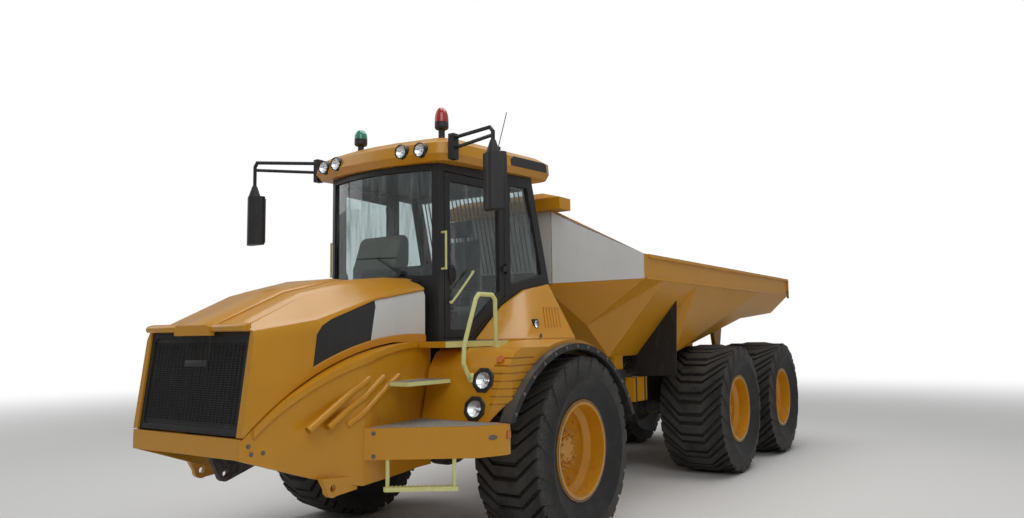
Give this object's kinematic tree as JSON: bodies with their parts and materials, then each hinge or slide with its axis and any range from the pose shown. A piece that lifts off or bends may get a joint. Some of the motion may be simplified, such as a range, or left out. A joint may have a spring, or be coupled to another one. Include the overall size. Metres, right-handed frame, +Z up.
{
  "type": "articulated dump truck",
  "caption": "Yellow articulated hauler with a steering hitch behind the cab, tandem rear axles, a tipping dump body, opening doors and a hinged engine hood.",
  "frame": {"origin": "on the ground, in the middle of the truck's length and width", "axes": "-Y is the front, the way it drives; +X is the truck's left; +Z is up"},
  "size_m": [3.06, 9.79, 3.8315],
  "materials": {
    "yellow_paint": "satin",
    "black_paint": "satin",
    "grey_plate": "matte",
    "grip_paint": "satin",
    "black_plastic": "matte",
    "grille_mesh": "matte",
    "seat_cloth": "matte",
    "rod_chrome": "polished",
    "tyre_rubber": "matte",
    "flap_rubber": "matte",
    "window_glass": "clear",
    "lamp_lens": "gloss",
    "amber_lens": "gloss",
    "red_lens": "gloss",
    "green_lens": "gloss",
    "frame_steel": "satin"
  },
  "bodies": {
    "front_frame": {"front_chassis": "frame_steel", "bumper_shell": "yellow_paint", "engine_block": "frame_steel", "front_axle": "frame_steel", "cab_frame": "black_paint", "cab_glass": "window_glass", "cab_roof": "yellow_paint", "driver_seat": "seat_cloth", "steering_column": "black_plastic", "front_fenders": "yellow_paint", "arch_flares": "flap_rubber", "step_boxes": "yellow_paint", "step_treads": "grip_paint", "handrails": "grip_paint", "side_covers": "yellow_paint", "lamps": "lamp_lens", "lamp_bezels": "black_plastic", "indicators": "amber_lens", "beacon_red": "red_lens", "beacon_green": "green_lens", "mirrors": "black_plastic", "aerial": "black_plastic"},
    "hood": {"hood": "yellow_paint", "grille": "grille_mesh"},
    "left_door": {"left_door": "black_paint", "left_door_glass": "window_glass"},
    "right_door": {"right_door": "black_paint", "right_door_glass": "window_glass"},
    "rear_frame": {"rear_chassis": "frame_steel", "bogie_beams": "frame_steel", "rear_axles": "frame_steel", "side_tanks": "yellow_paint", "tail_lamps": "red_lens"},
    "dump_body": {"bed_shell": "yellow_paint", "headboard_plates": "grey_plate", "bed_flaps": "flap_rubber"},
    "steer_barrel_left": {"steer_barrel_left": "frame_steel"},
    "steer_rod_left": {"steer_rod_left": "rod_chrome"},
    "steer_barrel_right": {"steer_barrel_right": "frame_steel"},
    "steer_rod_right": {"steer_rod_right": "rod_chrome"},
    "tip_barrels": {"tip_barrels": "frame_steel"},
    "tip_rods": {"tip_rods": "rod_chrome"},
    "front_left_wheel": {"front_left_tyre": "tyre_rubber", "front_left_rim": "yellow_paint"},
    "front_right_wheel": {"front_right_tyre": "tyre_rubber", "front_right_rim": "yellow_paint"},
    "middle_left_wheel": {"middle_left_tyre": "tyre_rubber", "middle_left_rim": "yellow_paint"},
    "middle_right_wheel": {"middle_right_tyre": "tyre_rubber", "middle_right_rim": "yellow_paint"},
    "rear_left_wheel": {"rear_left_tyre": "tyre_rubber", "rear_left_rim": "yellow_paint"},
    "rear_right_wheel": {"rear_right_tyre": "tyre_rubber", "rear_right_rim": "yellow_paint"}
  },
  "joints": [
    {"name": "front_left_wheel_spin", "type": "hinge", "parent": "front_frame", "child": "front_left_wheel", "pos_m": [1.29, -2.205, 0.79], "axis": [1, 0, 0], "continuous": true},
    {"name": "front_right_wheel_spin", "type": "hinge", "parent": "front_frame", "child": "front_right_wheel", "pos_m": [-1.29, -2.205, 0.79], "axis": [1, 0, 0], "continuous": true},
    {"name": "middle_left_wheel_spin", "type": "hinge", "parent": "rear_frame", "child": "middle_left_wheel", "pos_m": [1.29, 1.825, 0.79], "axis": [1, 0, 0], "continuous": true},
    {"name": "middle_right_wheel_spin", "type": "hinge", "parent": "rear_frame", "child": "middle_right_wheel", "pos_m": [-1.29, 1.825, 0.79], "axis": [1, 0, 0], "continuous": true},
    {"name": "rear_left_wheel_spin", "type": "hinge", "parent": "rear_frame", "child": "rear_left_wheel", "pos_m": [1.29, 3.765, 0.79], "axis": [1, 0, 0], "continuous": true},
    {"name": "rear_right_wheel_spin", "type": "hinge", "parent": "rear_frame", "child": "rear_right_wheel", "pos_m": [-1.29, 3.765, 0.79], "axis": [1, 0, 0], "continuous": true},
    {"name": "articulation", "type": "hinge", "parent": "front_frame", "child": "rear_frame", "pos_m": [0, -0.705, 0.95], "axis": [0, 0, 1], "range_deg": [-43, 43]},
    {"name": "steer_barrel_left_swing", "type": "hinge", "parent": "front_frame", "child": "steer_barrel_left", "pos_m": [0.5, -1.855, 1.02], "axis": [0, 0, 1], "range_deg": [-8, 8]},
    {"name": "steer_rod_left_slide", "type": "slide", "parent": "steer_barrel_left", "child": "steer_rod_left", "axis": [-0.0489, 0.9988, 0], "range_m": [-0.32, 0.32]},
    {"name": "steer_barrel_right_swing", "type": "hinge", "parent": "front_frame", "child": "steer_barrel_right", "pos_m": [-0.5, -1.855, 1.02], "axis": [0, 0, 1], "range_deg": [-8, 8]},
    {"name": "steer_rod_right_slide", "type": "slide", "parent": "steer_barrel_right", "child": "steer_rod_right", "axis": [0.0489, 0.9988, 0], "range_m": [-0.32, 0.32]},
    {"name": "body_tip", "type": "hinge", "parent": "rear_frame", "child": "dump_body", "pos_m": [0, 4.145, 1.45], "axis": [-1, 0, 0], "range_deg": [0, 70]},
    {"name": "tip_barrels_swing", "type": "hinge", "parent": "rear_frame", "child": "tip_barrels", "pos_m": [0, 0.845, 1.05], "axis": [1, 0, 0], "range_deg": [0, 22]},
    {"name": "tip_rods_slide", "type": "slide", "parent": "tip_barrels", "child": "tip_rods", "axis": [0, 0.9959, 0.0905], "range_m": [0, 0.86]},
    {"name": "hood_hinge", "type": "hinge", "parent": "front_frame", "child": "hood", "pos_m": [0, -3.19, 2.185], "axis": [-1, 0, 0], "range_deg": [0, 50]},
    {"name": "left_door_hinge", "type": "hinge", "parent": "front_frame", "child": "left_door", "pos_m": [0.70629, -2.185, 2.4], "axis": [0, 0, 1], "range_deg": [0, 90]},
    {"name": "right_door_hinge", "type": "hinge", "parent": "front_frame", "child": "right_door", "pos_m": [-0.70629, -2.185, 2.4], "axis": [0, 0, -1], "range_deg": [0, 90]}
  ],
  "couplings": [
    {"joint": "steer_barrel_left_swing", "follows": "articulation", "ratio": -0.153},
    {"joint": "steer_barrel_right_swing", "follows": "articulation", "ratio": -0.153},
    {"joint": "steer_rod_left_slide", "follows": "articulation", "m_per_rad": 0.419},
    {"joint": "steer_rod_right_slide", "follows": "articulation", "m_per_rad": -0.419},
    {"joint": "tip_barrels_swing", "follows": "body_tip", "ratio": 0.3047},
    {"joint": "tip_rods_slide", "follows": "body_tip", "m_per_rad": 0.694}
  ]
}
